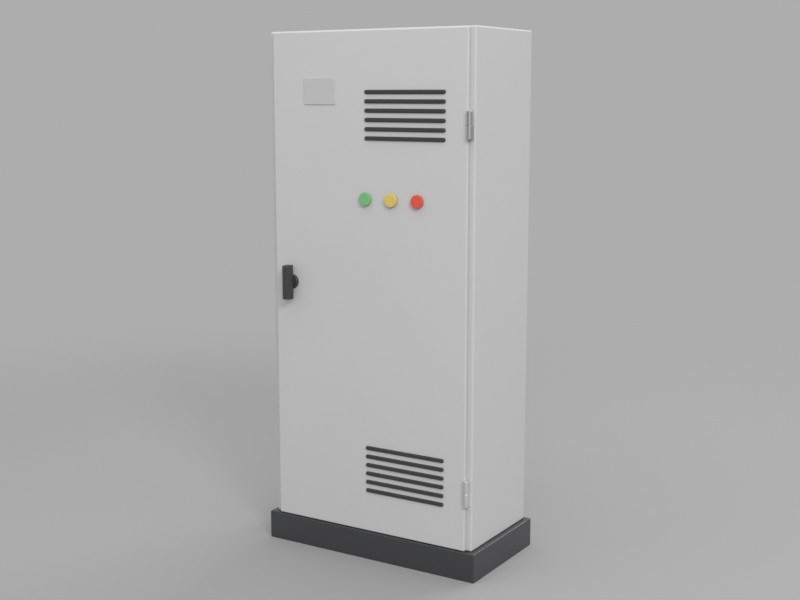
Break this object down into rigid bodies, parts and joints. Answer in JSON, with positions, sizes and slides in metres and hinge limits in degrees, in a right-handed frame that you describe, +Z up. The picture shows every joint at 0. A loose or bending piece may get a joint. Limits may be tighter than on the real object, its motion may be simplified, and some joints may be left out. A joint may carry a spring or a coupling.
{
  "type": "freestanding electrical enclosure",
  "caption": "Tall light grey floor-standing electrical enclosure on a dark plinth, with a hinged vented door, push-buttons, bare plate and a handle that drives lock rods.",
  "frame": {"origin": "middle of the four floor bolt holes, on the floor under the plinth", "axes": "+Z up, -Y out of the front of the door, +X towards the hinge side"},
  "size_m": [0.84, 0.467, 1.8],
  "materials": {
    "body_paint": "fine-textured light grey powder coat",
    "plinth_paint": "satin anthracite powder coat",
    "zinc": "galvanised",
    "hinge_steel": "satin nickel",
    "seal_foam": "closed-cell foam",
    "filter_fleece": "white fleece",
    "vent_plastic": "dark grey moulding",
    "plate_metal": "brushed, bare",
    "handle_metal": "dark grey die casting",
    "dark_plastic": "black moulding",
    "duct_plastic": "grey extrusion",
    "terminal_plastic": "beige moulding",
    "button_green": "satin green cap",
    "button_yellow": "satin yellow cap",
    "button_red": "satin red cap"
  },
  "bodies": {
    "cabinet": {"plinth": "plinth_paint", "plinth_bolts": "zinc", "cabinet_shell": "body_paint", "front_frame": "body_paint", "rear_panel": "body_paint", "rear_seal": "seal_foam", "rear_panel_screws": "zinc", "gland_plate": "zinc", "gland_plate_screws": "zinc", "mounting_plate": "zinc", "mounting_brackets": "zinc", "mounting_bolts": "zinc", "control_relays": "dark_plastic", "terminal_row": "terminal_plastic", "din_rail_lower": "zinc", "din_rail_upper": "zinc", "wiring_duct_lower": "duct_plastic", "wiring_duct_upper": "duct_plastic", "duct_cover_lower": "duct_plastic", "duct_cover_upper": "duct_plastic", "hinge_frame_leaf_lower": "hinge_steel", "hinge_frame_leaf_upper": "hinge_steel", "hinge_pin_lower": "hinge_steel", "hinge_pin_upper": "hinge_steel"},
    "door": {"door_panel": "body_paint", "door_gasket": "seal_foam", "door_stiffener_left": "zinc", "door_stiffener_right": "zinc", "door_nuts": "zinc", "nameplate": "plate_metal", "button_nuts": "dark_plastic", "handle_rose": "handle_metal", "rose_screws": "zinc", "lock_case": "zinc", "hinge_door_leaf_lower": "hinge_steel", "hinge_door_leaf_upper": "hinge_steel", "louvre_grille_lower": "vent_plastic", "louvre_grille_upper": "vent_plastic", "filter_mat_lower": "filter_fleece", "filter_mat_upper": "filter_fleece", "filter_frame_lower": "vent_plastic", "filter_frame_upper": "vent_plastic", "rod_guide_lower": "dark_plastic", "rod_guide_upper": "dark_plastic", "button_collar_green": "dark_plastic", "button_collar_yellow": "dark_plastic", "button_collar_red": "dark_plastic", "contact_block_green": "dark_plastic", "contact_block_yellow": "dark_plastic", "contact_block_red": "dark_plastic"},
    "handle": {"handle_grip": "handle_metal", "handle_spindle": "zinc", "lock_pinion": "zinc", "lock_tongue": "zinc"},
    "upper_rod": {"lock_rod_upper": "zinc"},
    "lower_rod": {"lock_rod_lower": "zinc"},
    "green_button": {"button_green": "button_green"},
    "yellow_button": {"button_yellow": "button_yellow"},
    "red_button": {"button_red": "button_red"}
  },
  "joints": [
    {"name": "door_swing", "type": "hinge", "parent": "cabinet", "child": "door", "pos_m": [0.389, -0.213, 0.949], "axis": [0, 0, 1], "range_deg": [0, 130]},
    {"name": "handle_turn", "type": "hinge", "parent": "door", "child": "handle", "pos_m": [-0.307, -0.207, 0.949], "axis": [0, 1, 0], "range_deg": [0, 90]},
    {"name": "upper_rod_slide", "type": "slide", "parent": "door", "child": "upper_rod", "axis": [0, 0, 1], "range_m": [0, 0.022]},
    {"name": "lower_rod_slide", "type": "slide", "parent": "door", "child": "lower_rod", "axis": [0, 0, -1], "range_m": [0, 0.022]},
    {"name": "green_button_press", "type": "slide", "parent": "door", "child": "green_button", "axis": [0, 1, 0], "range_m": [0, 0.003], "stiffness_N_per_m": 900, "springref_m": -0.003},
    {"name": "yellow_button_press", "type": "slide", "parent": "door", "child": "yellow_button", "axis": [0, 1, 0], "range_m": [0, 0.003], "stiffness_N_per_m": 900, "springref_m": -0.003},
    {"name": "red_button_press", "type": "slide", "parent": "door", "child": "red_button", "axis": [0, 1, 0], "range_m": [0, 0.003], "stiffness_N_per_m": 900, "springref_m": -0.003}
  ],
  "couplings": [
    {"joint": "upper_rod_slide", "follows": "handle_turn", "m_per_rad": 0.014},
    {"joint": "lower_rod_slide", "follows": "handle_turn", "m_per_rad": 0.014}
  ]
}
